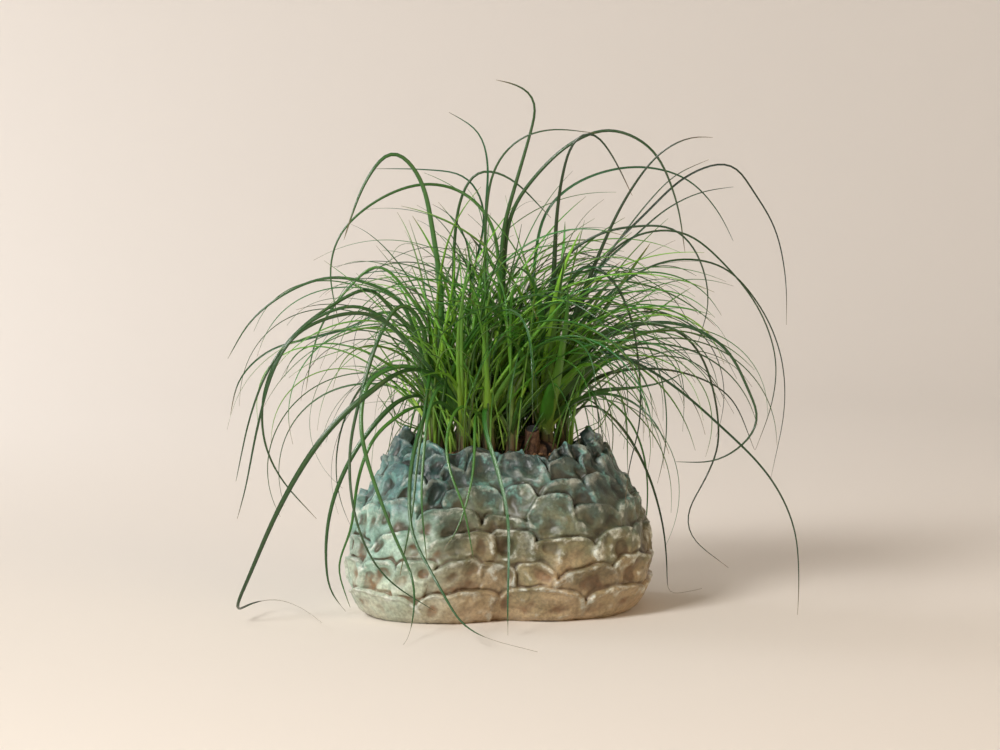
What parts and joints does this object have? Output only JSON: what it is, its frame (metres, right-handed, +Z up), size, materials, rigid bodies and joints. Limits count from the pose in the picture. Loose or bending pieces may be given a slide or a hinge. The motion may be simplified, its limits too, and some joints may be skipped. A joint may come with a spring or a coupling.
{
  "type": "potted ponytail palm",
  "caption": "Ponytail palm with long arching strap leaves growing from leafy shoots and a woody caudex, in soil in a bulbous hand-built stoneware planter of overlapping pinched clay pads",
  "frame": {"origin": "centre of the planter's flat foot, on the surface it stands on", "axes": "+Z up; the planter's front, as pictured, faces -Y; +X to the viewer's right, along the long axis of the mouth"},
  "size_m": [0.5713, 0.5009, 0.5289],
  "materials": {
    "stoneware": "satin",
    "soil": "matte",
    "bark": "matte",
    "leaf": "satin"
  },
  "bodies": {
    "root": {"planter": "stoneware", "potting_soil": "soil", "caudex": "bark", "shoot_left": "leaf", "shoot_front_left": "leaf", "shoot_front": "leaf", "shoot_front_right": "leaf", "shoot_centre": "leaf", "shoot_right": "leaf", "shoot_far_right": "leaf", "shoot_back_left": "leaf", "shoot_back_right": "leaf"}
  },
  "joints": []
}
